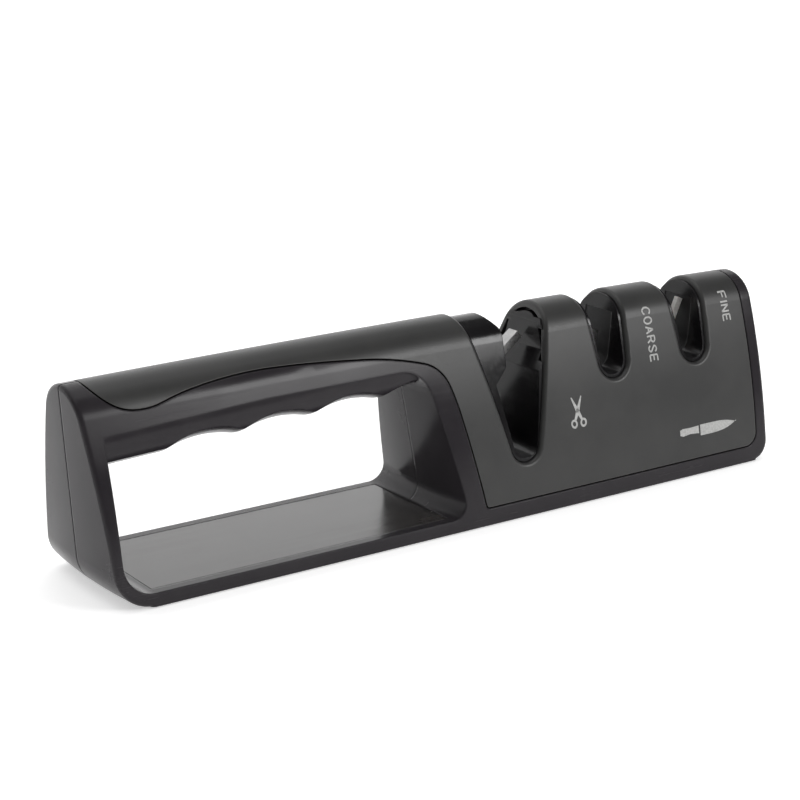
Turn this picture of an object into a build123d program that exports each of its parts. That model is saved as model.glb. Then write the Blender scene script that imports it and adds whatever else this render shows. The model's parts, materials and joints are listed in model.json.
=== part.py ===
from build123d import *
from math import atan2, cos, degrees, radians, sin, sqrt, tan
import os

# A hand-held kitchen sharpener: a black frame in two halves with a finger opening, a
# one-piece saddle cover over its top and head, and three slots that run across the head,
# one for scissors and two for knives.
# Frame: +X from the handle end to the head, +Z up, front face towards -Y,
# origin at the middle of the footprint, on the surface the rubber feet stand on.

# ---- outer form, mm ----
FOOT_PROUD = 0.4            # rubber feet below the rim
HEIGHT = 58.3               # top of the crown above the surface
HALF_WIDTH = 22.1           # half the width at the rim
CROWN_RADIUS = 11.1         # rounded top of the cross-section
CROWN_ANGLE = 19.6          # where the crown meets the side, above horizontal
SKIRT = 6.0                 # how far the section runs on below the surface before it is cut
ARCH_RADIUS = 6700.0        # lengthwise arch of the whole top
ARCH_X = 14.0               # highest place of the arch
LEFT_X = -113.7             # handle end at the surface, middle of the width
LEFT_LEAN = 0.061           # handle end leans outwards with height
LEFT_BULGE_RADIUS = 202.0
RIGHT_X = 117.17
RIGHT_BULGE_RADIUS = 269.0
LEFT_CORNER_RADIUS = 10.3
RIGHT_CORNER_RADIUS = 6.0
END_DEPTH = 40.0            # how far in from each end its form is worked out
END_FOOT_DROP = 0.15        # an end's rounded foot ends this far below the rim's plane
END_SWEEP = 30.0            # degrees of turn that cover the width at the ends
END_EDGE_RADIUS = 1.2       # rounding between the end faces and the sides
REACH = 200.0               # longer than anything, for cutting prisms
WIDE = (-30.0, 30.0)        # wider than the body on both sides
OUTLINE_TOP = 80.0          # outlines that are open upwards end here, above the crown

# ---- saddle cover's edge on the side faces, X and Z ----
COVER_EDGE = [
    (-0.8, 33.0),
    (-3.0, 41.4),
    (-10.5, 48.75),
    (-30.0, 52.6),
    (-58.0, 54.4),
    (-84.0, 52.9),
    (-93.0, 51.0),
    (-101.5, 50.45),
    (-107.5, 52.9),
    (-111.4, 57.0),
]
COVER_FOOT = (4.75, 5.6)    # lowest corner beside the finger opening
COVER_FOOT_RADIUS = 1.0
COVER_RIGHT_X = 111.4
COVER_RIGHT_LEAN = 0.013
COVER_RIGHT_RADIUS = 4.5

# ---- walls and gaps ----
COVER_WALL = 2.0
FRAME_SEAT = COVER_WALL + 0.1
FRAME_INNER = FRAME_SEAT + 1.9
SEAM_GAP = 0.45
FIT_GAP = 0.15
PAD_GAP = 0.1
THREAD_GAP = 0.05           # round screws, and between the rocker and its pin
SOCKET_GAP = 0.03           # round the bars in their carriers
SEAT_GAP = 0.02             # between pieces that bear on each other
TOUCHING = 0.01             # nearer than this counts as on the face
RIM_WIDTH = 3.2
PARTING_WIDTH = 0.4
PARTING_DEPTH = 0.4
PARTING_START_Z = 3.0       # the parting groove starts above the rounded foot
PARTING_GAP = 0.02          # half the gap between the two frame halves

# ---- finger opening ----
FLOOR_TOP = 4.0
OPENING_LEFT_X = -111.0
OPENING_TOP = 47.2
OPENING_LEFT_RADIUS = 8.5
OPENING_TOP_RADIUS = 9.0
OPENING_FOOT_RADIUS = 5.0
INNER_WALL_X = -1.3         # head's wall at the surface, middle of the width
INNER_WALL_LEAN = 0.192
INNER_WALL_RADIUS = 100.0
INNER_WALL_THICK = 2.2
WALL_EDGES_X = -20.0        # the opening's edges beyond this meet the head's wall
HOLLOW_JOIN_X = 40.0        # the head's room is cut in two lengths that meet here

# ---- grip ----
RIDGE_X = -92.0             # first ridge between two finger grooves
GROOVE_COUNT = 4
GROOVE_PITCH = 23.0
GROOVE_DEPTH = 1.8
GROOVE_REACH = 8.0          # the grooves are cut by a ring this thick
GRIP_BELLY_RADIUS = 20.0    # the underside is crowned across the width
GRIP_CORNER_RADIUS = 8.0
GRIP_TOP = 51.0             # the bar runs up into the crown to here
RIDGE_RADIUS = 4.5
GRIP_BOTTOM = 35.3          # at the first ridge
GRIP_RISE = 0.045           # rise of the underside per mm towards the head
GRIP_ENDS = (-112.5, 8.0)
GRIP_BORE_RADIUS = 6.0
GRIP_BORE_Z = 47.5
GRIP_BORE = (-106.0, -9.0)

# ---- knife slots ----
KNIFE_SLOTS = {"coarse": 57.2, "fine": 89.8}
SLOT_BOTTOM = 34.2
SLOT_RADIUS = 5.7
SLOT_FLARE = 4.5            # degrees, each side
SLOT_LIP = 1.2              # rounding of the cover's slot edges
SLOT_STEP = 1.2             # a guide's slot is narrower by this, each side
GUIDE_INSET = 3.0
BEAD_INSET = 1.1            # the guide's lip stands this far inside the cover's face
BEAD_GAP = 0.3              # between that lip and the cover's slot edge
GUIDE_HALF = 9.8
GUIDE_FOOT = 26.0
NOSE_MARGIN = 1.6
POCKET_HALF = 8.3
POCKET_TOP = 52.3
POCKET_DEPTH = 6.0          # half depth along Y

# per stage: lean in degrees, height where the cutting edges cross, half the bar's width,
# nearest and furthest Y, and how far the bar runs below and above that height
BARS = {
    "coarse": (20.0, 43.4, 1.4, (0.2, 2.2), (-8.0, 7.5)),
    "fine": (24.0, 43.8, 1.0, (0.4, 2.0), (-9.0, 11.2)),
}

# ---- scissors slot ----
SCISSOR_X = 20.6
SCISSOR_BOTTOM = 15.6
SCISSOR_RADIUS = 5.3
SCISSOR_FLARE = 14.2        # degrees, each side
CHANNEL_LEFT = [(13.0, 62.0), (15.0, 58.0), (18.8, 53.6), (18.0, 43.1), (13.4, 38.7), (17.4, 17.0)]
CHANNEL_RIGHT = [(24.8, 17.0), (29.4, 40.3), (33.2, 45.4), (33.6, 53.6), (37.0, 58.0), (39.0, 62.0)]
CHANNEL_FOOT_RADIUS = 3.3
CHANNEL_MOUTH_RADIUS = 3.0
CHANNEL_STEP_RADIUS = 0.8
SCISSOR_GUIDE = (-1.2, 45.0)
SCISSOR_GUIDE_FOOT = 12.0
ARM_PIVOT = (2.5, 28.2)
ARM_ANGLE = 37.0            # the carbide bar's slope at rest
ARM_REACH = 8.5
ARM_HUB_RADIUS = 3.2
ARM_HALF_WIDTH = 4.4
ARM_POCKET_X = (-1.3, 12.0)
ARM_POCKET_Z = (23.5, 39.0)
WINDOW_PLAY = 2.1           # room for the bar to swing through the guide's wall
WINDOW_END = 24.0           # how far from the pivot that room reaches
BAR_SIDE_PLAY = 0.4
ARM_SIDE_PLAY = 0.2
CLAMP_SCREW_LENGTH = 2.2
CLAMP_SCREW_RADIUS = 1.0
CLAMP_SCREW_INSET = 2.6     # its distance back from the rocker's nose
PIVOT_PIN_HALF = 8.0
SPRING_ROOM = 1.9
SPRING_WIRE = 0.6
SPRING_PITCH = 0.65
SPRING_TURNS = 1.5
SPRING_RADIUS = 1.9
BAR_LENGTH = (2.4, 35.0)
BAR_HALF = 1.25
BAR_HALF_WIDTH = 2.0
PIVOT_PIN_RADIUS = 1.25

# ---- base, feet and screws ----
BASE_BOTTOM = 0.9
BASE_TOP = 3.3
FLOOR_PANEL = (-102.4, -7.6)
BASE_TONGUE_X = -104.6
BASE_RIGHT_X = 111.8
FOOT_PADS = {"handle_foot_pad": (-78.0, 44.0), "head_foot_pad": (68.0, 64.0)}
FOOT_PAD_WIDTH = 26.0
FOOT_PAD_THICK = 1.4
FOOT_PAD_CORNER = 4.0
BASE_TONGUE_TOP = 2.4
BOSS_RADIUS = 3.6
BASE_BOSS_HEIGHT = 6.5
BASE_HOLE_TOP = 12.0
BASE_SCREW_SEAT = BASE_BOTTOM + 1.0
BASE_SCREW_LENGTH = 8.0
BOSS_RIB_HALF = 1.2
SHELF_INNER_Y = 8.0
SHELF_HALF = 8.0
SHELF_THICK = 2.0
SCISSOR_SHELF = (2.0, 42.0)
SCREW_SEAT_Y = 8.5
SCREW_END_Y = -8.0
SCREW_HOLE_END_Y = -9.0
SCREW_RADIUS = 1.25
SCREW_HEAD_RADIUS = 2.4
SCREW_HEAD_HEIGHT = 1.6
SCREW_HEAD_ROUND = 0.5
CROSS_BAR = (2.6, 0.6, 1.2)  # one bar of the driver's crossed recess
FRAME_SCREWS = [(52.0, 15.0), (73.5, 42.0), (106.5, 24.0)]
BASE_SCREWS = [(30.0, 11.5), (30.0, -11.5), (106.0, 11.5), (106.0, -11.5)]


# ---------------------------------------------------------------- outer form
def side_arc():
    """Centre and radius of the long arc of the cross-section's +Y side."""
    theta = radians(CROWN_ANGLE)
    normal = Vector(cos(theta), sin(theta))
    contact = Vector(0, HEIGHT - CROWN_RADIUS) + normal * CROWN_RADIUS
    to_rim = Vector(HALF_WIDTH, FOOT_PROUD) - contact
    radius = -to_rim.length**2 / (2 * to_rim.dot(normal))
    return contact - normal * radius, radius


def section_face(inset):
    """Tombstone cross-section: two long side arcs and a tangent crown, inset all round."""
    centre, radius = side_arc()
    side = radius - inset
    crown = CROWN_RADIUS - inset
    theta = radians(CROWN_ANGLE)
    crown_z = HEIGHT - CROWN_RADIUS
    join = Vector(crown * cos(theta), crown_z + crown * sin(theta))

    def side_y(z):
        return centre.X + sqrt(side**2 - (z - centre.Y) ** 2)

    middle = (join.Y - SKIRT) / 2
    edges = [
        ThreePointArc((side_y(-SKIRT), -SKIRT), (side_y(middle), middle), join),
        ThreePointArc(join, (0, crown_z + crown), (-join.X, join.Y)),
        ThreePointArc((-join.X, join.Y), (-side_y(middle), middle), (-side_y(-SKIRT), -SKIRT)),
        Line((-side_y(-SKIRT), -SKIRT), (side_y(-SKIRT), -SKIRT)),
    ]
    return make_face(edges)


def prism(face):
    """A face drawn in X and Z, run right through the width."""
    return extrude(Plane.XZ * face, REACH, both=True)


def rounded(face, corners):
    """Round the named corners of a face: pairs of a point and a radius."""
    for point, radius in corners:
        nearest = face.vertices().sort_by_distance(Vector(*point))[0]
        face = fillet(nearest, radius)
    return face


def leaning_axis(x, lean):
    """Upright line at a given X that leans by a slope towards -X as it rises."""
    return Axis((x, 0, 0), (-lean, 0, 1))


def leaning_cylinder(x, radius, lean):
    return Pos(x, 0, 0) * Rot(0, -degrees(atan2(lean, 1)), 0) * Cylinder(radius, 3 * REACH)


def end_form(x, inward, bulge, lean, corner, inset):
    """All that lies inside one end of the body: a bulged leaning face with a rounded foot."""
    edge = x + inward * inset
    inner = edge + inward * END_DEPTH
    foot = FOOT_PROUD - END_FOOT_DROP
    outline = Polyline(
        (edge, foot),
        (inner, foot),
        (inner - lean * OUTLINE_TOP, OUTLINE_TOP),
        (edge - lean * OUTLINE_TOP, OUTLINE_TOP),
        close=True,
    )
    face = rounded(make_face(outline), [((edge, foot), corner - inset)])
    axis = leaning_axis(x + inward * bulge, lean)
    end = revolve((Plane.XZ * face).rotate(axis, -END_SWEEP / 2), axis, END_SWEEP)
    beyond = sorted((edge + inward * 0.9 * END_DEPTH, inward * 2 * REACH))
    return end + span(beyond, (-REACH, REACH), (-SKIRT, OUTLINE_TOP))


def envelope(inset):
    """The whole outer body, inset by a wall thickness on every side but the bottom."""
    pivot = Axis((ARCH_X, 0, HEIGHT - ARCH_RADIUS), (0, 1, 0))
    sweep_angle = degrees(1.4 * REACH / ARCH_RADIUS)
    section = Plane.YZ.offset(ARCH_X) * section_face(inset)
    body = revolve(section.rotate(pivot, -sweep_angle / 2), pivot, sweep_angle)
    body &= span((-REACH, REACH), (-REACH, REACH), (FOOT_PROUD, OUTLINE_TOP))
    body &= end_form(LEFT_X, 1, LEFT_BULGE_RADIUS, LEFT_LEAN, LEFT_CORNER_RADIUS, inset)
    return body & end_form(RIGHT_X, -1, RIGHT_BULGE_RADIUS, 0, RIGHT_CORNER_RADIUS, inset)


def outer_body():
    """The envelope with its two end faces' edges rounded."""
    body = envelope(0)
    faces = body.faces().filter_by(lambda face: abs(face.normal_at().X) > 0.9)
    edges = [edge for face in faces for edge in face.edges() if edge.bounding_box().size.Z > 5]
    return fillet(edges, END_EDGE_RADIUS)


def span(x, y, z):
    """Block between two limits on each axis."""
    size = [high - low for low, high in (x, y, z)]
    middle = [(high + low) / 2 for low, high in (x, y, z)]
    return Pos(*middle) * Box(*size)


def rod_y(x, z, radius, low, high):
    """Cylinder along Y between two limits."""
    return Pos(x, (low + high) / 2, z) * Rot(90, 0, 0) * Cylinder(radius, high - low)


# ---------------------------------------------------------------- outlines in X and Z
def tangent_arcs(points, way):
    """Arcs through the points, each running smoothly on from the one before."""
    arcs = []
    for low, high in zip(points, points[1:]):
        arcs.append(TangentArc(low, high, tangent=way))
        way = arcs[-1] % 1
    return arcs


def cover_outline(grow=0.0):
    """Edge of the saddle cover on the side faces, carried up past the crown."""
    points = [Vector(*point) for point in COVER_EDGE]
    first_way = points[0] - Vector(*COVER_FOOT)
    arcs = tangent_arcs(points, first_way)
    ways = [arcs[0] % 0] + [arc % 1 for arc in arcs]
    points = [point + Vector(-way.Y, way.X) * grow for point, way in zip(points, ways)]
    foot = Vector(*COVER_FOOT) - Vector(grow, grow)
    right = Vector(COVER_RIGHT_X + grow, foot.Y)
    top_right = Vector(right.X + COVER_RIGHT_LEAN * (OUTLINE_TOP - foot.Y), OUTLINE_TOP)
    top_left = Vector(points[-1].X, OUTLINE_TOP)
    rest = Polyline(points[-1], top_left, top_right, right, foot, points[0])
    face = make_face([*tangent_arcs(points, first_way), rest])
    corners = [((foot.X, foot.Y), COVER_FOOT_RADIUS), ((right.X, right.Y), COVER_RIGHT_RADIUS)]
    return rounded(face, [(corner, radius + grow) for corner, radius in corners])


def slot_outline(x, bottom, radius, flare, grow):
    """Slot open upwards: a round bottom between two straight sides that flare outwards."""
    centre = Vector(x, bottom + radius)
    slope = radians(flare)
    side = Vector(cos(slope), -sin(slope)) * (radius + grow)
    rise = OUTLINE_TOP - centre.Y
    top = Vector(side.X + (rise - side.Y) * tan(slope), rise)

    def mirrored(point):
        return centre + Vector(-point.X, point.Y)

    arc = ThreePointArc(mirrored(side), centre - Vector(0, radius + grow), centre + side)
    rest = Polyline(centre + side, centre + top, mirrored(top), mirrored(side))
    return make_face([arc, rest])


def knife_outline(x, grow=0.0):
    return slot_outline(x, SLOT_BOTTOM, SLOT_RADIUS, SLOT_FLARE, grow)


def scissor_outline(grow=0.0):
    return slot_outline(SCISSOR_X, SCISSOR_BOTTOM, SCISSOR_RADIUS, SCISSOR_FLARE, grow)


def scissor_channel():
    """Stepped channel: one blade runs above the carbide bar and the other below it."""
    face = make_face(Polyline(*CHANNEL_LEFT, *CHANNEL_RIGHT, close=True))
    corners = [(CHANNEL_LEFT[-1], CHANNEL_FOOT_RADIUS), (CHANNEL_RIGHT[0], CHANNEL_FOOT_RADIUS)]
    corners += [(CHANNEL_LEFT[2], CHANNEL_MOUTH_RADIUS), (CHANNEL_RIGHT[3], CHANNEL_MOUTH_RADIUS)]
    corners += [(point, CHANNEL_STEP_RADIUS) for point in CHANNEL_LEFT[3:5] + CHANNEL_RIGHT[1:3]]
    return rounded(face, corners)


def opening_prism():
    """Finger opening between the floor, the handle end, the grip and the head's wall."""
    outline = Polyline(
        (OPENING_LEFT_X, FLOOR_TOP),
        (REACH, FLOOR_TOP),
        (REACH, OPENING_TOP),
        (OPENING_LEFT_X, OPENING_TOP),
        close=True,
    )
    face = rounded(make_face(outline), [((OPENING_LEFT_X, FLOOR_TOP), OPENING_LEFT_RADIUS)])
    wall = leaning_cylinder(INNER_WALL_X + INNER_WALL_RADIUS, INNER_WALL_RADIUS, INNER_WALL_LEAN)
    opening = prism(face) & span((-REACH, HOLLOW_JOIN_X), WIDE, (0, OUTLINE_TOP))
    opening = (opening - wall).solids().sort_by(Axis.X)[0]
    for end, radius in ((0, OPENING_FOOT_RADIUS), (-1, OPENING_TOP_RADIUS)):
        at_wall = opening.edges().filter_by(lambda edge: edge.center().X > WALL_EDGES_X)
        opening = fillet(at_wall.sort_by(Axis.Z)[end], radius)
    return opening


# ---------------------------------------------------------------- grip
def finger_grooves():
    """Ring round the grip's underside: shallow arcs side by side with softened ridges."""
    ridges = []
    for index in range(GROOVE_COUNT + 1):
        x = RIDGE_X + index * GROOVE_PITCH
        ridges.append(Vector(x, GRIP_BOTTOM + GRIP_RISE * (x - RIDGE_X)))
    start = ridges[0] - Vector(1, GRIP_RISE) * GROOVE_PITCH
    edges = [Line(start, ridges[0])]
    for low, high in zip(ridges, ridges[1:]):
        edges.append(ThreePointArc(low, (low + high) / 2 + Vector(0, GROOVE_DEPTH), high))
    below = Vector(0, -GROOVE_REACH)
    edges += [Polyline(ridges[-1], ridges[-1] + below, start + below, start)]
    face = rounded(make_face(edges), [((ridge.X, ridge.Y), RIDGE_RADIUS) for ridge in ridges[:-1]])
    axis = Axis((RIDGE_X, 0, GRIP_BOTTOM + GRIP_BELLY_RADIUS), (1, 0, GRIP_RISE))
    return revolve(Plane.XZ * face, axis)


def grip(body):
    """Handle bar: the body's own sides closed below by the rounded, grooved underside."""
    low, high = (GRIP_BOTTOM + GRIP_RISE * (x - RIDGE_X) for x in GRIP_ENDS)
    left, right = GRIP_ENDS
    outline = Polyline((left, low), (right, high), (right, GRIP_TOP), (left, GRIP_TOP), close=True)
    bar = body & prism(make_face(outline))
    long_edges = bar.edges().filter_by(lambda edge: edge.length > 0.9 * (right - left))
    bar = fillet(long_edges.sort_by(Axis.Z)[:2], GRIP_CORNER_RADIUS)
    return bar - finger_grooves()


# ---------------------------------------------------------------- frame
def nose_outlines(grow):
    """Slot outlines grown to the guides' noses, keyed by slot."""
    outlines = {name: knife_outline(x, grow) for name, x in KNIFE_SLOTS.items()}
    outlines["scissor"] = scissor_outline(grow)
    return outlines


def head_hollow():
    """Room inside the head, behind the wall that faces the finger opening."""
    wall_x = INNER_WALL_X + INNER_WALL_RADIUS
    inside = leaning_cylinder(wall_x, INNER_WALL_RADIUS - INNER_WALL_THICK, INNER_WALL_LEAN)
    room = (BASE_TOP + FIT_GAP, OUTLINE_TOP)
    inside &= span((-REACH, RIGHT_X), WIDE, room)
    beyond = span((HOLLOW_JOIN_X, RIGHT_X), WIDE, room)
    return envelope(FRAME_INNER) & (inside + beyond)


def base_recess():
    """Rebate under the frame for the base plate, with a window for its floor panel."""
    inner = envelope(RIM_WIDTH)
    window = inner & span(FLOOR_PANEL, WIDE, (0, FLOOR_TOP + 1))
    recess = inner & span((BASE_TONGUE_X, BASE_RIGHT_X), WIDE, (0, BASE_TOP + FIT_GAP))
    tongue_roof = span((BASE_TONGUE_X, FLOOR_PANEL[0]), WIDE, (BASE_TONGUE_TOP, 10))
    return window + (recess - tongue_roof)


def screw_bosses():
    """Bosses for the frame screws, along Y, and for the base screws, upright."""
    bosses = []
    for x, z in FRAME_SCREWS:
        bosses.append(rod_y(x, z, BOSS_RADIUS, *WIDE))
    for x, y in BASE_SCREWS:
        top = BASE_TOP + FIT_GAP + BASE_BOSS_HEIGHT
        post = Pos(x, y, 0) * Cylinder(BOSS_RADIUS, top, align=(Align.CENTER, Align.CENTER, Align.MIN))
        outward = WIDE[1] if y > 0 else WIDE[0]
        rib = span((x - BOSS_RIB_HALF, x + BOSS_RIB_HALF), sorted((y, outward)), (0, top))
        below = span((x - 2 * BOSS_RADIUS, x + 2 * BOSS_RADIUS), WIDE, (-1, BASE_TOP + FIT_GAP))
        bosses.append((post + rib) - below)
    return bosses


def shelves():
    """Ledges on the side walls that carry the three guides."""
    ledges = []
    for x in KNIFE_SLOTS.values():
        ledges.append(((x - SHELF_HALF, x + SHELF_HALF), GUIDE_FOOT))
    ledges.append((SCISSOR_SHELF, SCISSOR_GUIDE_FOOT))
    blocks = []
    for x_limits, foot in ledges:
        for side in (-1, 1):
            y_limits = sorted((side * WIDE[1], side * SHELF_INNER_Y))
            top = foot - FIT_GAP
            blocks.append(span(x_limits, y_limits, (top - SHELF_THICK, top)))
    return blocks


def frame_screw_holes():
    """Clearance through the rear half, pilot in the front half and a head recess."""
    holes = []
    for x, z in FRAME_SCREWS:
        holes.append(rod_y(x, z, SCREW_RADIUS + THREAD_GAP, SCREW_HOLE_END_Y, WIDE[1]))
        holes.append(rod_y(x, z, SCREW_HEAD_RADIUS + FIT_GAP, SCREW_SEAT_Y, WIDE[1]))
    return holes


def base_screw_holes(radius, low, high):
    return [Pos(x, y, (low + high) / 2) * Cylinder(radius, high - low) for x, y in BASE_SCREWS]


def frame():
    """Both frame halves in one: end wall, grip, rims and head box."""
    body = outer_body()
    shell = body - opening_prism()
    shell += grip(body)
    shell -= (body - envelope(FRAME_SEAT)) & prism(cover_outline(SEAM_GAP))
    hollow = head_hollow()
    for boss in screw_bosses() + shelves():
        hollow -= boss
    shell -= hollow
    shell -= base_recess()
    bore_span = GRIP_BORE[1] - GRIP_BORE[0]
    bore = Cylinder(GRIP_BORE_RADIUS, bore_span)
    shell -= Pos(sum(GRIP_BORE) / 2, 0, GRIP_BORE_Z) * Rot(0, 90, 0) * bore
    for outline in nose_outlines(NOSE_MARGIN + FIT_GAP).values():
        shell -= prism(outline)
    for hole in frame_screw_holes() + base_screw_holes(SCREW_RADIUS + THREAD_GAP, 0, BASE_HOLE_TOP):
        shell -= hole
    across = (-PARTING_WIDTH / 2, PARTING_WIDTH / 2)
    groove = span((-REACH, REACH), across, (PARTING_START_Z, OUTLINE_TOP))
    return shell - ((groove & body) - envelope(PARTING_DEPTH))


def frame_halves():
    whole = frame()
    front = whole - span((-REACH, REACH), (-PARTING_GAP, WIDE[1]), (0, OUTLINE_TOP))
    rear = whole - span((-REACH, REACH), (WIDE[0], PARTING_GAP), (0, OUTLINE_TOP))
    return {"front_frame_half": front, "rear_frame_half": rear}


# ---------------------------------------------------------------- cover
def top_cover():
    """Saddle cover: tongue over the grip, cap and both cheeks of the head, three slots."""
    body = outer_body()
    cover = (body - envelope(COVER_WALL)) & prism(cover_outline())
    cuts = [prism(outline) for outline in nose_outlines(0).values()]
    for cut in cuts:
        cover -= cut
    walls = [face for cut in cuts for face in cut.faces() if abs(face.center().Y) < 1]
    skin = [face for face in body.faces() if abs(face.center().X) < COVER_RIGHT_X]
    lips = []
    for edge in cover.edges():
        spot = Vertex(*(edge @ 0.37))
        gaps = [min(face.distance_to(spot) for face in group) for group in (walls, skin)]
        if max(gaps) < TOUCHING:
            lips.append(edge)
    return fillet(lips, SLOT_LIP)


# ---------------------------------------------------------------- knife stages
def abrasive_bar(x, side, stage, grow=0.0):
    """Flat bar that leans outwards as it rises; the two of a stage cross like an X."""
    lean, vertex_z, half_width, y_limits, reach = BARS[stage]
    angle = radians(lean)
    axis_z = vertex_z - half_width / sin(angle)
    low, high = reach
    size = (2 * (half_width + grow), y_limits[1] - y_limits[0] + 2 * grow, high - low + 2 * grow)
    y_middle = side * (y_limits[0] + y_limits[1]) / 2
    lean_way = Rot(0, -side * lean, 0)
    return Pos(x, y_middle, axis_z) * lean_way * Pos(0, 0, (low + high) / 2) * Box(*size)


def guide_pocket(x, gap):
    return span(
        (x - POCKET_HALF + gap, x + POCKET_HALF - gap),
        (-POCKET_DEPTH + gap, POCKET_DEPTH - gap),
        (GUIDE_FOOT, POCKET_TOP - gap),
    )


def knife_guide(x):
    """Black insert: a block inside the frame with a nose and a bead in the cover's slot."""
    block = envelope(FRAME_INNER + FIT_GAP)
    block &= span((x - GUIDE_HALF, x + GUIDE_HALF), WIDE, (GUIDE_FOOT, 80))
    nose = envelope(GUIDE_INSET) & prism(knife_outline(x, NOSE_MARGIN))
    bead = envelope(BEAD_INSET) & prism(knife_outline(x, -BEAD_GAP))
    room = prism(knife_outline(x, -SLOT_STEP)) + guide_pocket(x, 0)
    return (block - room) + (nose - room) + (bead - room)


def knife_carrier(x, stage):
    """Block inside the guide that holds the two crossed bars, open along the slot."""
    carrier = guide_pocket(x, FIT_GAP / 2) - prism(knife_outline(x, FIT_GAP - SLOT_STEP))
    for side in (-1, 1):
        carrier -= abrasive_bar(x, side, stage, SOCKET_GAP)
    return carrier


# ---------------------------------------------------------------- scissors stage
def along_arm(shape, start=0.0):
    """Move a shape drawn along +Z onto the arm's line, starting at the pivot."""
    x, z = ARM_PIVOT
    return Pos(x, 0, z) * Rot(0, 90 - ARM_ANGLE, 0) * Pos(0, 0, start) * shape


def arm_beam(half_height, half_width, low, high):
    beam = Box(2 * half_height, 2 * half_width, high - low)
    return along_arm(beam, (low + high) / 2)


def scissor_bar():
    return arm_beam(BAR_HALF, BAR_HALF_WIDTH, *BAR_LENGTH)


def scissor_arm():
    """Short rocker on the pivot pin, with a socket that holds the carbide bar."""
    x, z = ARM_PIVOT
    hub = rod_y(x, z, ARM_HUB_RADIUS, -ARM_HALF_WIDTH, ARM_HALF_WIDTH - SPRING_ROOM)
    body = arm_beam(ARM_HUB_RADIUS, ARM_HALF_WIDTH - SPRING_ROOM, 0, ARM_REACH)
    arm = hub + body
    arm -= rod_y(x, z, PIVOT_PIN_RADIUS + THREAD_GAP, *WIDE)
    socket = (BAR_HALF + SEAT_GAP, BAR_HALF_WIDTH + SEAT_GAP)
    arm -= arm_beam(*socket, BAR_LENGTH[0] - THREAD_GAP, BAR_LENGTH[1])
    return arm - clamp_screw(THREAD_GAP)


def clamp_screw(grow):
    """Set screw that presses the bar into its socket from above."""
    stands = (Align.CENTER, Align.CENTER, Align.MIN)
    screw = Cylinder(CLAMP_SCREW_RADIUS + grow, CLAMP_SCREW_LENGTH, align=stands)
    upright = Rot(0, -90, 0) * Pos(0, 0, BAR_HALF + SEAT_GAP) * screw
    return along_arm(upright, ARM_REACH - CLAMP_SCREW_INSET)


def scissor_guide():
    """Black insert of the scissors slot, with a pocket behind it for the rocker."""
    block = envelope(FRAME_INNER + FIT_GAP)
    block &= span(SCISSOR_GUIDE, WIDE, (SCISSOR_GUIDE_FOOT, 80))
    nose = envelope(GUIDE_INSET) & prism(scissor_outline(NOSE_MARGIN))
    bead = envelope(BEAD_INSET) & prism(scissor_outline(-BEAD_GAP))
    guide = block + nose + bead - prism(scissor_channel())
    pocket_half = ARM_HALF_WIDTH + ARM_SIDE_PLAY
    guide -= span(ARM_POCKET_X, (-pocket_half, pocket_half), ARM_POCKET_Z)
    window_half = BAR_HALF + WINDOW_PLAY
    guide -= arm_beam(window_half, BAR_HALF_WIDTH + BAR_SIDE_PLAY, 0, WINDOW_END)
    x, z = ARM_PIVOT
    return guide - rod_y(x, z, PIVOT_PIN_RADIUS + SEAT_GAP, -PIVOT_PIN_HALF, PIVOT_PIN_HALF)


def scissor_pivot_pin():
    x, z = ARM_PIVOT
    half = PIVOT_PIN_HALF - PAD_GAP
    return rod_y(x, z, PIVOT_PIN_RADIUS, -half, half)


def scissor_return_spring():
    """Torsion spring round the pivot pin, beside the rocker's hub."""
    x, z = ARM_PIVOT
    height = SPRING_TURNS * SPRING_PITCH
    coil = Helix(SPRING_PITCH, height, SPRING_RADIUS)
    wire_start = Plane(coil @ 0, z_dir=coil % 0)
    wire = sweep(wire_start * Circle(SPRING_WIRE / 2), path=coil)
    start_y = ARM_HALF_WIDTH - SPRING_ROOM + SPRING_WIRE
    return Pos(x, start_y, z) * Rot(-90, 0, 0) * wire


# ---------------------------------------------------------------- base, feet and screws
def foot_pad(x, length, grow=0.0):
    size = (length + 2 * grow, FOOT_PAD_WIDTH + 2 * grow)
    pad = RectangleRounded(*size, FOOT_PAD_CORNER + grow)
    return Pos(x, 0, 0) * extrude(pad, FOOT_PAD_THICK + grow)


def base_plate():
    """Bottom plate with the glossy floor panel that shows inside the finger opening."""
    inner = envelope(RIM_WIDTH + FIT_GAP)
    panel_x = (FLOOR_PANEL[0] + FIT_GAP, FLOOR_PANEL[1] - FIT_GAP)
    plate = inner & span(panel_x, WIDE, (BASE_BOTTOM, FLOOR_TOP))
    plate += inner & span((panel_x[0], BASE_RIGHT_X - FIT_GAP), WIDE, (BASE_BOTTOM, BASE_TOP))
    tongue_x = (BASE_TONGUE_X + FIT_GAP, panel_x[0])
    plate += inner & span(tongue_x, WIDE, (BASE_BOTTOM, BASE_TONGUE_TOP - FIT_GAP))
    for x, length in FOOT_PADS.values():
        plate -= foot_pad(x, length, PAD_GAP)
    for hole in base_screw_holes(SCREW_RADIUS + THREAD_GAP, 0, BASE_HOLE_TOP):
        plate -= hole
    for recess in base_screw_holes(SCREW_HEAD_RADIUS + FIT_GAP, 0, BASE_SCREW_SEAT):
        plate -= recess
    return plate


def pan_head_screw(length):
    """Screw pointing along +Z, its head below Z = 0, with a crossed recess."""
    head = Cylinder(SCREW_HEAD_RADIUS, SCREW_HEAD_HEIGHT, align=(Align.CENTER, Align.CENTER, Align.MAX))
    shank = Cylinder(SCREW_RADIUS, length, align=(Align.CENTER, Align.CENTER, Align.MIN))
    cross = Box(*CROSS_BAR) + Rot(0, 0, 90) * Box(*CROSS_BAR)
    rim = head.edges().sort_by(Axis.Z)[0]
    return fillet(rim, SCREW_HEAD_ROUND) + shank - Pos(0, 0, -SCREW_HEAD_HEIGHT) * cross


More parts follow.
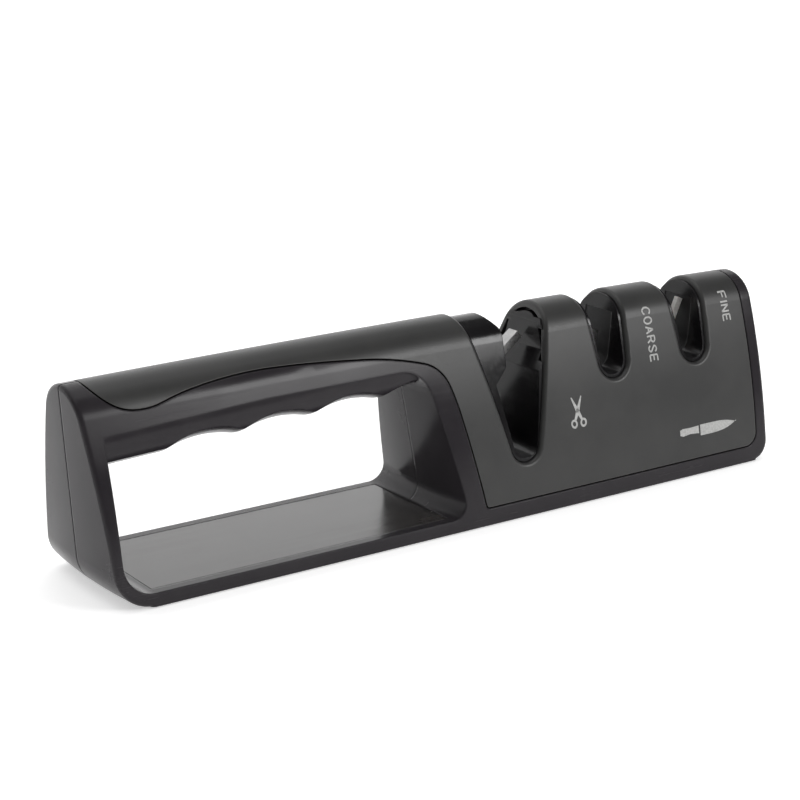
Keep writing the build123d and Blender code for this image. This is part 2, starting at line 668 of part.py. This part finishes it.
def frame_screws():
    screw = Rot(90, 0, 0) * pan_head_screw(SCREW_SEAT_Y - SCREW_END_Y)
    return Compound([Pos(x, SCREW_SEAT_Y + SEAT_GAP, z) * screw for x, z in FRAME_SCREWS])


def base_screws():
    screw = pan_head_screw(BASE_SCREW_LENGTH)
    return Compound([Pos(x, y, BASE_SCREW_SEAT - SEAT_GAP) * screw for x, y in BASE_SCREWS])


def parts():
    """Every piece by name."""
    pieces = frame_halves()
    pieces["top_cover"] = top_cover()
    pieces["base_plate"] = base_plate()
    for name, (x, length) in FOOT_PADS.items():
        pieces[name] = foot_pad(x, length)
    for stage, x in KNIFE_SLOTS.items():
        pieces[f"{stage}_guide"] = knife_guide(x)
        pieces[f"{stage}_carrier"] = knife_carrier(x, stage)
        pieces[f"{stage}_bar_front"] = abrasive_bar(x, -1, stage)
        pieces[f"{stage}_bar_rear"] = abrasive_bar(x, 1, stage)
    pieces["scissor_guide"] = scissor_guide()
    pieces["scissor_arm"] = scissor_arm()
    pieces["scissor_bar"] = scissor_bar()
    pieces["scissor_clamp_screw"] = clamp_screw(0)
    pieces["scissor_pivot_pin"] = scissor_pivot_pin()
    pieces["scissor_return_spring"] = scissor_return_spring()
    pieces["frame_screws"] = frame_screws()
    pieces["base_screws"] = base_screws()
    return pieces


os.makedirs("parts", exist_ok=True)
for name, piece in parts().items():
    export_step(piece, f"parts/{name}.step")
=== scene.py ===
import json
import math

import bmesh
import bpy
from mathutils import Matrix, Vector
from mathutils.bvhtree import BVHTree


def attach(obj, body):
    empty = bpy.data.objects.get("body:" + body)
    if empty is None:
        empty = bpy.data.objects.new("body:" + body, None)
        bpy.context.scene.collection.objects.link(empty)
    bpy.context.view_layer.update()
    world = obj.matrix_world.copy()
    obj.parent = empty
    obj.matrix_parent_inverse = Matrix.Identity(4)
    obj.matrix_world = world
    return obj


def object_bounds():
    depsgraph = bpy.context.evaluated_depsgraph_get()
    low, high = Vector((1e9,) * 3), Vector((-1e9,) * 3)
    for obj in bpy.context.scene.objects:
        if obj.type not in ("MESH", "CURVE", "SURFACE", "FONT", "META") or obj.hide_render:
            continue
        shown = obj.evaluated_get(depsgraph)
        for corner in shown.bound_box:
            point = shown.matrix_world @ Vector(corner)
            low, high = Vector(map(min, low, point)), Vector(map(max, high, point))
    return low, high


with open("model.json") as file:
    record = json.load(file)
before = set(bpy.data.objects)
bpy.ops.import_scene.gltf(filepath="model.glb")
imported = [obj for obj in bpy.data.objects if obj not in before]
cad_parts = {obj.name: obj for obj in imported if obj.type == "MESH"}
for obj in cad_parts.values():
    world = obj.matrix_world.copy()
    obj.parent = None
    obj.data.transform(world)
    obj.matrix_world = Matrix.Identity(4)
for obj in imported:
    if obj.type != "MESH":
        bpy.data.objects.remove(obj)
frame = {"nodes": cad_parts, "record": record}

# Looks of a hand-held knife and scissors sharpener. Everything is in metres, in the CAD's own
# frame: +X from the handle end to the head, +Z up, marked front face towards -Y.

MM = 0.001
NODES = frame["nodes"]
CAD_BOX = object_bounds()
BEVEL_SAMPLES = 4


# ---------------------------------------------------------------- material building blocks
class Shader:
    """One node material, with short calls for the nodes that the finishes share."""

    def __init__(self, name):
        self.material = bpy.data.materials.new(name)
        self.material.use_nodes = True
        self.tree = self.material.node_tree
        self.tree.nodes.clear()
        output = self.tree.nodes.new("ShaderNodeOutputMaterial")
        self.bsdf = self.tree.nodes.new("ShaderNodeBsdfPrincipled")
        self.link(self.bsdf.outputs["BSDF"], output.inputs["Surface"])
        self.place = self.tree.nodes.new("ShaderNodeTexCoord").outputs["Object"]

    def link(self, source, target):
        self.tree.links.new(source, target)

    def set(self, **values):
        """Sets the shader's own sockets: coat_weight=0.3 sets Coat Weight."""
        for key, value in values.items():
            socket = self.bsdf.inputs[key.replace("_", " ").title().replace("Ior", "IOR")]
            socket.default_value = value

    def stretched(self, scale):
        """Object coordinates stretched by a factor on each axis."""
        mapping = self.tree.nodes.new("ShaderNodeMapping")
        mapping.inputs["Scale"].default_value = scale
        self.link(self.place, mapping.inputs["Vector"])
        return mapping.outputs["Vector"]

    def along(self, axis):
        """Object coordinate along one axis, in metres."""
        node = self.tree.nodes.new("ShaderNodeSeparateXYZ")
        self.link(self.place, node.inputs["Vector"])
        return node.outputs[axis]

    def noise(self, scale, detail=3.0, rough=0.5, stretch=None, distortion=0.0):
        node = self.tree.nodes.new("ShaderNodeTexNoise")
        node.inputs["Scale"].default_value = scale
        node.inputs["Detail"].default_value = detail
        node.inputs["Roughness"].default_value = rough
        node.inputs["Distortion"].default_value = distortion
        source = self.stretched(stretch) if stretch else self.place
        self.link(source, node.inputs["Vector"])
        return node.outputs["Fac"]

    def cells(self, scale):
        node = self.tree.nodes.new("ShaderNodeTexVoronoi")
        node.inputs["Scale"].default_value = scale
        self.link(self.place, node.inputs["Vector"])
        return node.outputs["Distance"]

    def ramp(self, source, stops):
        """Colours or greys along a factor: stops are pairs of a place and a colour."""
        node = self.tree.nodes.new("ShaderNodeValToRGB")
        elements = node.color_ramp.elements
        while len(elements) < len(stops):
            elements.new(0.5)
        for element, (place, colour) in zip(elements, stops):
            element.position = place
            value = colour if isinstance(colour, tuple) else (colour, colour, colour)
            element.color = (*value, 1.0)
        self.link(source, node.inputs["Fac"])
        return node.outputs["Color"]

    def spread(self, source, low, high, start=0.3, end=0.7):
        """Maps a factor from start..end to low..high."""
        node = self.tree.nodes.new("ShaderNodeMapRange")
        node.inputs["From Min"].default_value = start
        node.inputs["From Max"].default_value = end
        node.inputs["To Min"].default_value = low
        node.inputs["To Max"].default_value = high
        self.link(source, node.inputs["Value"])
        return node.outputs["Result"]

    def math(self, operation, first, second):
        node = self.tree.nodes.new("ShaderNodeMath")
        node.operation = operation
        for socket, value in zip(node.inputs, (first, second)):
            if isinstance(value, float):
                socket.default_value = value
            else:
                self.link(value, socket)
        return node.outputs["Value"]

    def mix(self, factor, first, second):
        """Blend of two colours, each a colour output or a plain colour."""
        node = self.tree.nodes.new("ShaderNodeMix")
        node.data_type = "RGBA"
        self.link(factor, node.inputs["Factor"])
        colour_inputs = [socket for socket in node.inputs if socket.type == "RGBA"]
        for socket, value in zip(colour_inputs, (first, second)):
            if isinstance(value, tuple):
                socket.default_value = (*value, 1.0)
            else:
                self.link(value, socket)
        return [out for out in node.outputs if out.type == "RGBA"][0]

    def rounded_normal(self, radius):
        """Surface normal that turns smoothly over sharp edges."""
        bevel = self.tree.nodes.new("ShaderNodeBevel")
        bevel.samples = BEVEL_SAMPLES
        bevel.inputs["Radius"].default_value = radius
        return bevel.outputs["Normal"]

    def edge_wear_and_highlight(self, radius):
        """1 on sharp edges, 0 on flats: how far a rounded normal leaves the true one. Used to paint edges
        paler, partly as wear and partly as a painted highlight.
        """
        normal = self.rounded_normal(radius)
        geometry = self.tree.nodes.new("ShaderNodeNewGeometry")
        node = self.tree.nodes.new("ShaderNodeVectorMath")
        node.operation = "DOT_PRODUCT"
        self.link(normal, node.inputs[0])
        self.link(geometry.outputs["Normal"], node.inputs[1])
        return self.spread(node.outputs["Value"], 1.0, 0.0, 0.75, 0.995)

    def bump(self, height, distance, strength=1.0, edge_radius=None):
        """Bump in metres, on normals that are rounded over sharp edges."""
        node = self.tree.nodes.new("ShaderNodeBump")
        node.inputs["Strength"].default_value = strength
        node.inputs["Distance"].default_value = distance
        self.link(height, node.inputs["Height"])
        if edge_radius:
            self.link(self.rounded_normal(edge_radius), node.inputs["Normal"])
        self.link(node.outputs["Normal"], self.bsdf.inputs["Normal"])

    def colour(self, source):
        self.link(source, self.bsdf.inputs["Base Color"])

    def roughness(self, source):
        self.link(source, self.bsdf.inputs["Roughness"])


# ---------------------------------------------------------------- finishes
def cover_finish():
    """Gunmetal-grey satin cover: fine moulded grain, slight mottling, and edges painted paler, partly as
    wear and partly as a painted highlight.
    """
    shader = Shader("satin_gunmetal_cover")
    mottle = shader.noise(45.0, 4.0, 0.55)
    grain = shader.noise(2600.0, 2.0, 0.6)
    base = shader.ramp(mottle, [(0.35, (0.0280, 0.0282, 0.0278)), (0.65, (0.0360, 0.0357, 0.0348))])
    # Sharp edges painted paler: partly wear, partly a painted highlight.
    wear_and_highlight = shader.edge_wear_and_highlight(0.35 * MM)
    base = shader.mix(shader.math("MULTIPLY", wear_and_highlight, 0.4), base, (0.17, 0.165, 0.155))
    shader.colour(base)
    rough = shader.spread(grain, 0.33, 0.42)
    rough = shader.math("ADD", rough, shader.spread(mottle, -0.03, 0.03))
    shader.roughness(rough)
    shader.set(specular_ior_level=0.36)
    shader.bump(grain, 0.012 * MM, 0.6, 0.3 * MM)
    return shader.material


def frame_finish():
    """Glossy black shell with soft handling marks and hairline scratches."""
    shader = Shader("gloss_black_shell")
    smudge = shader.noise(38.0, 5.0, 0.6, distortion=0.4)
    hairline = shader.noise(900.0, 2.0, 0.5, stretch=(0.03, 1.0, 1.0))
    ripple = shader.noise(160.0, 2.0, 0.4)
    base = shader.ramp(smudge, [(0.3, (0.0190, 0.0165, 0.0195)), (0.7, (0.0260, 0.0230, 0.0260))])
    # Sharp edges painted paler: partly wear, partly a painted highlight.
    wear_and_highlight = shader.edge_wear_and_highlight(0.3 * MM)
    shader.colour(shader.mix(shader.math("MULTIPLY", wear_and_highlight, 0.25), base, (0.06, 0.055, 0.06)))
    rough = shader.spread(smudge, 0.17, 0.27)
    rough = shader.math("ADD", rough, shader.spread(hairline, 0.0, 0.05, 0.55, 0.75))
    shader.roughness(rough)
    shader.set(specular_ior_level=0.2)
    shader.bump(ripple, 0.01 * MM, 0.35, 0.8 * MM)
    return shader.material


def floor_panel_finish():
    """Polished black base plate with faint flow lines along its length."""
    shader = Shader("polished_black_base")
    flow = shader.noise(420.0, 3.0, 0.55, stretch=(0.02, 1.0, 1.0))
    cloud = shader.noise(30.0, 4.0, 0.5)
    shader.colour(shader.ramp(cloud, [(0.3, (0.020, 0.0175, 0.0165)), (0.7, (0.032, 0.0285, 0.0265))]))
    streak = shader.noise(34.0, 1.0, 0.4, stretch=(0.15, 1.0, 1.0))
    rough = shader.math("ADD", shader.spread(flow, 0.13, 0.19), shader.spread(streak, 0.0, 0.1))
    shader.roughness(shader.math("ADD", rough, shader.spread(cloud, -0.02, 0.04)))
    shader.set(specular_ior_level=0.6)
    shader.bump(flow, 0.004 * MM, 0.5, 0.2 * MM)
    return shader.material


def guide_finish():
    """Black slot inserts, painted darker than the shell partly as painted shade of the slot recesses:
    semi-gloss, polished a little where blades rub.
    """
    shader = Shader("semi_gloss_guides")
    cloud = shader.noise(90.0, 4.0, 0.55)
    rub = shader.noise(700.0, 3.0, 0.6, stretch=(1.0, 0.05, 1.0))
    # Near-black colour: the inserts' own black, darkened further as painted shade of the slot recesses.
    shader.colour(shader.ramp(cloud, [(0.3, (0.0040, 0.0036, 0.0042)), (0.7, (0.0070, 0.0064, 0.0072))]))
    rough = shader.spread(cloud, 0.13, 0.22)
    shader.roughness(shader.math("ADD", rough, shader.spread(rub, 0.0, 0.06, 0.5, 0.75)))
    shader.set(specular_ior_level=0.28)
    shader.bump(rub, 0.006 * MM, 0.4, 0.35 * MM)
    return shader.material


def carrier_finish():
    """Matt black bar holders, painted near black partly as painted shade of the slot recesses, with an
    eroded moulding grain.
    """
    shader = Shader("matt_black_carriers")
    grain = shader.noise(1800.0, 3.0, 0.6)
    cloud = shader.noise(120.0, 3.0, 0.5)
    # Near-black colour: the holders' own black, darkened further as painted shade inside the slots.
    shader.colour(shader.ramp(cloud, [(0.3, (0.0040, 0.0038, 0.0042)), (0.7, (0.0085, 0.0080, 0.0088))]))
    shader.roughness(shader.spread(grain, 0.42, 0.56))
    shader.set(specular_ior_level=0.25)
    shader.bump(grain, 0.02 * MM, 0.7, 0.2 * MM)
    return shader.material


def carbide_finish():
    """Ground tungsten carbide: bright, with fine grinding lines across the bar."""
    shader = Shader("ground_carbide")
    lines = shader.noise(2400.0, 2.0, 0.6, stretch=(1.0, 0.04, 1.0))
    stain = shader.noise(260.0, 4.0, 0.6)
    shader.colour(shader.ramp(stain, [(0.3, (0.30, 0.30, 0.30)), (0.7, (0.46, 0.455, 0.45))]))
    shader.roughness(shader.spread(lines, 0.24, 0.42))
    shader.set(metallic=1.0)
    shader.bump(lines, 0.008 * MM, 0.6, 0.15 * MM)
    return shader.material


def ceramic_finish():
    """White ceramic bars: fine sintered grain, with grey metal traces from use."""
    shader = Shader("white_ceramic_bars")
    trace = shader.noise(420.0, 5.0, 0.65, stretch=(1.0, 0.15, 1.0))
    grain = shader.noise(4200.0, 2.0, 0.6)
    shader.colour(shader.ramp(trace, [(0.42, (0.58, 0.565, 0.54)), (0.72, (0.38, 0.37, 0.36))]))
    shader.roughness(shader.spread(grain, 0.48, 0.62))
    shader.set(subsurface_weight=0.08, subsurface_scale=0.001)
    shader.bump(grain, 0.01 * MM, 0.6, 0.2 * MM)
    return shader.material


def rubber_finish():
    """Black rubber pads with a fine matt tooth."""
    shader = Shader("black_foot_rubber")
    tooth = shader.cells(1500.0)
    dust = shader.noise(200.0, 4.0, 0.6)
    shader.colour(shader.ramp(dust, [(0.35, (0.016, 0.016, 0.017)), (0.75, (0.035, 0.034, 0.033))]))
    shader.roughness(shader.spread(dust, 0.7, 0.86))
    shader.set(sheen_weight=0.15, sheen_roughness=0.5)
    shader.bump(tooth, 0.03 * MM, 0.6, 0.3 * MM)
    return shader.material


def steel_finish(name, low, high, rough_low, rough_high):
    """Zinc-plated steel, slightly mottled, with fine drawn lines."""
    shader = Shader(name)
    mottle = shader.noise(600.0, 4.0, 0.6)
    lines = shader.noise(3000.0, 2.0, 0.5, stretch=(1.0, 0.1, 1.0))
    shader.colour(shader.ramp(mottle, [(0.3, low), (0.7, high)]))
    shader.roughness(shader.spread(mottle, rough_low, rough_high))
    shader.set(metallic=1.0)
    shader.bump(lines, 0.006 * MM, 0.6, 0.15 * MM)
    return shader.material


def ink_finish():
    """Pale pad-printed ink, a little thin in places."""
    shader = Shader("pale_printed_ink")
    thin = shader.noise(1500.0, 4.0, 0.65)
    shader.colour(shader.ramp(thin, [(0.3, (0.32, 0.32, 0.31)), (0.6, (0.46, 0.46, 0.45))]))
    shader.roughness(shader.spread(thin, 0.45, 0.6))
    shader.bump(thin, 0.004 * MM, 0.5)
    return shader.material


def paint_nodes():
    """Gives every CAD node its finish, by what the record says it is made of."""
    finishes = {
        "cover_plastic": cover_finish(),
        "frame_plastic": frame_finish(),
        "base_plastic": floor_panel_finish(),
        "guide_plastic": guide_finish(),
        "carrier_plastic": carrier_finish(),
        "carbide": carbide_finish(),
        "white_ceramic": ceramic_finish(),
        "foot_rubber": rubber_finish(),
        "arm_steel": steel_finish("plated_arm_steel", (0.34, 0.34, 0.35), (0.48, 0.48, 0.49), 0.3, 0.45),
        "screw_steel": steel_finish("plated_screw_steel", (0.40, 0.40, 0.41), (0.56, 0.56, 0.57), 0.25, 0.4),
        "spring_steel": steel_finish("spring_wire_steel", (0.36, 0.36, 0.38), (0.5, 0.5, 0.52), 0.22, 0.34),
    }
    for part in frame["record"]["subparts"]:
        node = NODES[part["node"]]
        node.data.materials.clear()
        node.data.materials.append(finishes[part["material_slot"]])


# ---------------------------------------------------------------- printed marks
INK_PROUD = 0.02 * MM
INK_SUNK = 0.03 * MM
INK_REACH = 10 * MM          # how far in front of the object the drawing is cast from
STEP = 0.5                   # mm between points along a printed shape
RING_POINTS = 16             # fewest points round a ring

# Capitals, in mm. Each letter is a list of lines through points of a unit square.
LETTER_HEIGHT = 2.9
LETTER_WIDTH = 1.85
LETTER_WEIGHT = 0.48
LETTERS = {
    "A": [[(0, 0), (0.5, 1), (1, 0)], [(0.2, 0.35), (0.8, 0.35)]],
    "C": [[(1, 0.8), (0.7, 1), (0.3, 1), (0, 0.7), (0, 0.3), (0.3, 0), (0.7, 0), (1, 0.2)]],
    "E": [[(1, 0), (0, 0), (0, 1), (1, 1)], [(0, 0.5), (0.85, 0.5)]],
    "F": [[(0, 0), (0, 1), (1, 1)], [(0, 0.5), (0.85, 0.5)]],
    "I": [[(0.5, 0), (0.5, 1)]],
    "N": [[(0, 0), (0, 1), (1, 0), (1, 1)]],
    "O": [[(0.3, 1), (0.7, 1), (1, 0.7), (1, 0.3), (0.7, 0), (0.3, 0), (0, 0.3), (0, 0.7), (0.3, 1)]],
    "R": [[(0, 0), (0, 1), (0.7, 1), (1, 0.75), (0.7, 0.5), (0, 0.5)], [(0.5, 0.5), (1, 0)]],
    "S": [[(1, 0.8), (0.7, 1), (0.3, 1), (0, 0.75), (1, 0.25), (0.7, 0), (0.3, 0), (0, 0.2)]],
}


class Print:
    """A printed mark on the cover's front face, drawn in mm about a centre in X and Z."""

    def __init__(self, name, x, z):
        self.name = name
        self.centre = (x, z)
        self.mesh = bmesh.new()
        graph = bpy.context.evaluated_depsgraph_get()
        self.cover = BVHTree.FromObject(NODES["top_cover"], graph)

    def on_cover(self, x, z):
        """Outer and inner point of the ink film over a point of the drawing."""
        front = CAD_BOX[0][1] - INK_REACH
        start = Vector(((self.centre[0] + x) * MM, front, (self.centre[1] + z) * MM))
        spot, normal, _, _ = self.cover.ray_cast(start, Vector((0, 1, 0)))
        if normal.y > 0:
            normal = -normal
        return spot + normal * INK_PROUD, spot - normal * INK_SUNK

    def strip(self, left, right, closed=False, across=2):
        """Film between two rails of equally many points."""
        outer_rows, inner_rows = [], []
        for a, b in zip(left, right):
            outer, inner = [], []
            for index in range(across + 1):
                t = index / across
                top, low = self.on_cover(a[0] + (b[0] - a[0]) * t, a[1] + (b[1] - a[1]) * t)
                outer.append(self.mesh.verts.new(top))
                inner.append(self.mesh.verts.new(low))
            outer_rows.append(outer)
            inner_rows.append(inner)
        count = len(outer_rows)
        last = count if closed else count - 1
        for row in range(last):
            following = (row + 1) % count
            for index in range(across):
                self.quad(outer_rows, row, following, index)
                self.quad(inner_rows, following, row, index)
            for index in (0, across):
                self.mesh.faces.new((
                    outer_rows[row][index], outer_rows[following][index],
                    inner_rows[following][index], inner_rows[row][index],
                ))
        if not closed:
            for row in (0, count - 1):
                for index in range(across):
                    self.mesh.faces.new((
                        outer_rows[row][index], outer_rows[row][index + 1],
                        inner_rows[row][index + 1], inner_rows[row][index],
                    ))

    def quad(self, rows, first, second, index):
        self.mesh.faces.new((
            rows[first][index], rows[first][index + 1], rows[second][index + 1], rows[second][index],
        ))

    def ring(self, x, z, inner, outer, squeeze=1.0, turn=0.0):
        """Closed ring, narrowed across its own axis by squeeze and turned by an angle."""
        count = max(RING_POINTS, int(2 * math.pi * outer / STEP))
        rails = ([], [])
        for index in range(count):
            angle = 2 * math.pi * index / count
            for rail, radius in zip(rails, (inner, outer)):
                u = radius * squeeze * math.cos(angle)
                v = radius * math.sin(angle)
                rail.append((x + u * math.cos(turn) - v * math.sin(turn),
                             z + u * math.sin(turn) + v * math.cos(turn)))
        self.strip(*rails, closed=True)

    def stroke(self, start, end, width_start, width_end):
        """Straight stroke that may taper."""
        along = Vector(end) - Vector(start)
        side = Vector((-along.y, along.x)).normalized()
        count = max(2, math.ceil(along.length / STEP))
        rails = ([], [])
        for index in range(count + 1):
            t = index / count
            point = Vector(start) + along * t
            half = (width_start + (width_end - width_start) * t) / 2
            rails[0].append(tuple(point + side * half))
            rails[1].append(tuple(point - side * half))
        self.strip(*rails)

    def letters(self, word, height, width, gap, weight):
        """Plain stroke capitals that read down the head, their tops towards +X."""
        spans = []
        for letter in word:
            across = [u for line in LETTERS[letter] for u, v in line]
            spans.append((min(across), max(across)))
        length = sum(right - left for left, right in spans) * width + (len(word) - 1) * gap
        start_at = length / 2
        for letter, (left, right) in zip(word, spans):
            for line in LETTERS[letter]:
                points = [((v - 0.5) * height, start_at - (u - left) * width) for u, v in line]
                for start, end in zip(points, points[1:]):
                    self.stroke(start, end, weight, weight)
            start_at -= (right - left) * width + gap

    def finish(self, material):
        """Puts the ink on the cover, which is on the fixed body."""
        bmesh.ops.recalc_face_normals(self.mesh, faces=self.mesh.faces)
        data = bpy.data.meshes.new(self.name)
        self.mesh.to_mesh(data)
        self.mesh.free()
        piece = bpy.data.objects.new(self.name, data)
        bpy.context.scene.collection.objects.link(piece)
        data.materials.append(material)
        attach(piece, "body")


def scissors_sign(material):
    """Scissors, points up: two finger rings and two crossing blades."""
    sign = Print("scissors_sign", 40.7, 27.0)
    ring_lean = math.radians(17)
    for side in (-1, 1):
        ring_x = side * 1.75
        sign.ring(ring_x, -3.1, 0.7, 1.35, 0.9, -side * ring_lean)
        start = (ring_x - side * 0.55, -2.0)
        cross = (side * 0.12, 0.2)
        tip = (-side * 1.9, 4.6)
        sign.stroke(start, cross, 0.8, 1.2)
        sign.stroke(cross, tip, 1.35, 0.35)
    sign.finish(material)


def grit_sign(name, word, x, z, gap, material):
    """Plain word for the stage's grit, read down the head."""
    sign = Print(name, x, z)
    sign.letters(word, LETTER_HEIGHT, LETTER_WIDTH, gap, LETTER_WEIGHT)
    sign.finish(material)


def knife_sign(material):
    """Plain kitchen knife lying level: a handle, a bolster gap and a pointed blade."""
    sign = Print("knife_sign", 91.6, 14.2)
    top = [(-11.8, 0.8), (-10.6, 1.15), (-7.8, 1.05), (-5.0, 1.15), (-4.1, 1.2)]
    foot = [(-11.8, -0.8), (-10.6, -1.2), (-7.8, -0.85), (-5.0, -1.05), (-4.1, -1.2)]
    sign.strip(top, foot)
    heel_x, blade_length = -3.45, 15.2
    spine, edge = [], []
    count = 30
    for index in range(count + 1):
        t = index / count
        x = heel_x + blade_length * t
        spine.append((x, 1.35 - 4.5 * max(0.0, t - 0.45) ** 2))
        edge.append((x, -2.0 + 2.45 * t ** 4))
    sign.strip(spine, edge)
    sign.finish(material)


# ---------------------------------------------------------------- stage, lights, camera
FLOOR_SIZE = 8.0
FLOOR_GLOW = 0.5
FLOOR_SHADE_SPAN = (-0.9, -0.25)   # Y range in front of the object in which the floor is painted grey, a painted shade for the dim room in front
FLOOR_SHADE_GREY = 0.25
BACKDROP_Y = 1.5
BACKDROP_TOP = 2.4
BACKDROP_GLOW = 0.8
ROOM_LIGHT = 0.2
LIGHT_AIM = (0.0, 0.0, 0.03)


def sheet(name, corners, material):
    """Flat four-cornered part of the studio, which isn't part of the object."""
    mesh = bpy.data.meshes.new(name)
    mesh.from_pydata(corners, [], [(0, 1, 2, 3)])
    mesh.materials.append(material)
    piece = bpy.data.objects.new(name, mesh)
    bpy.context.scene.collection.objects.link(piece)


def pale_finish(name, glow):
    """Matt white sheet lit from behind, slightly uneven, painted grey far in front as a painted shade of the
    dim room there.
    """
    shader = Shader(name)
    shade = shader.noise(3.0, 2.0, 0.5)
    white = shader.ramp(shade, [(0.3, (0.92, 0.92, 0.92)), (0.7, (0.95, 0.95, 0.95))])
    # Painted shade: the floor's colour and glow turn grey in front of the object, standing in for a dim
    # room.
    outside_painted_shade = shader.spread(shader.along("Y"), 0.0, 1.0, *FLOOR_SHADE_SPAN)
    white = shader.mix(outside_painted_shade, (FLOOR_SHADE_GREY, FLOOR_SHADE_GREY, FLOOR_SHADE_GREY), white)
    shader.colour(white)
    shader.link(white, shader.bsdf.inputs["Emission Color"])
    shader.roughness(shader.spread(shade, 0.8, 0.9))
    shader.set(emission_strength=glow, specular_ior_level=0.2)
    return shader.material


def studio():
    """White floor, painted grey far in front as a painted shade, a glowing backdrop behind the object and a
    dim room in front of it.
    """
    half = FLOOR_SIZE / 2
    floor = [(-half, -half, 0), (half, -half, 0), (half, half, 0), (-half, half, 0)]
    sheet("studio_floor", floor, pale_finish("pale_studio_floor", FLOOR_GLOW))
    y, top = BACKDROP_Y, BACKDROP_TOP
    wall = [(-half, y, 0), (half, y, 0), (half, y, top), (-half, y, top)]
    sheet("studio_backdrop", wall, pale_finish("pale_studio_backdrop", BACKDROP_GLOW))

    world = bpy.data.worlds.new("soft_surround")
    world.use_nodes = True
    background = world.node_tree.nodes["Background"]
    background.inputs["Color"].default_value = (1.0, 1.0, 1.0, 1.0)
    background.inputs["Strength"].default_value = ROOM_LIGHT
    bpy.context.scene.world = world


def soft_light(name, place, size, power):
    """Softbox at a place, facing the middle of the object."""
    data = bpy.data.lights.new(name, "AREA")
    data.shape = "RECTANGLE"
    data.size, data.size_y = size
    data.energy = power
    light = bpy.data.objects.new(name, data)
    bpy.context.scene.collection.objects.link(light)
    light.location = place
    way = Vector(LIGHT_AIM) - Vector(place)
    light.rotation_euler = way.to_track_quat("-Z", "Y").to_euler()


VIEW_AZIMUTH = math.radians(34.825)
VIEW_ELEVATION = math.radians(16.32)
VIEW_DISTANCE = 0.565
VIEW_LENS = 88.61
VIEW_SENSOR = 36.0
VIEW_SHIFT_X = -0.0112       # from the middle of the object's box to the camera's aim
VIEW_SHIFT_Z = 0.0062


def camera():
    """Camera to the left of and above the front face, aimed just left of the middle."""
    low, high = (Vector(corner) for corner in CAD_BOX)
    middle = (low + high) / 2
    aim = Vector((middle.x + VIEW_SHIFT_X, 0.0, middle.z + VIEW_SHIFT_Z))
    way = Vector((
        math.sin(VIEW_AZIMUTH) * math.cos(VIEW_ELEVATION),
        math.cos(VIEW_AZIMUTH) * math.cos(VIEW_ELEVATION),
        -math.sin(VIEW_ELEVATION),
    ))
    data = bpy.data.cameras.new("main_camera")
    data.lens = VIEW_LENS
    data.sensor_width = VIEW_SENSOR
    eye = bpy.data.objects.new("main_camera", data)
    eye.location = aim - way * VIEW_DISTANCE
    eye.rotation_euler = (math.pi / 2 - VIEW_ELEVATION, 0.0, -VIEW_AZIMUTH)
    bpy.context.scene.collection.objects.link(eye)
    bpy.context.scene.camera = eye


def main():
    paint_nodes()
    ink = ink_finish()
    scissors_sign(ink)
    grit_sign("coarse_grit_sign", "COARSE", 72.9, 45.0, 0.9, ink)
    grit_sign("fine_grit_sign", "FINE", 105.0, 49.1, 1.0, ink)
    knife_sign(ink)
    studio()
    soft_light("overhead_softbox", (-0.1, 0.25, 1.5), (1.8, 1.4), 9.5)
    soft_light("key_softbox", (0.70, -0.98, 0.6), (0.55, 0.4), 8.2)
    camera()
    bpy.context.scene.view_settings.view_transform = "Standard"


main()
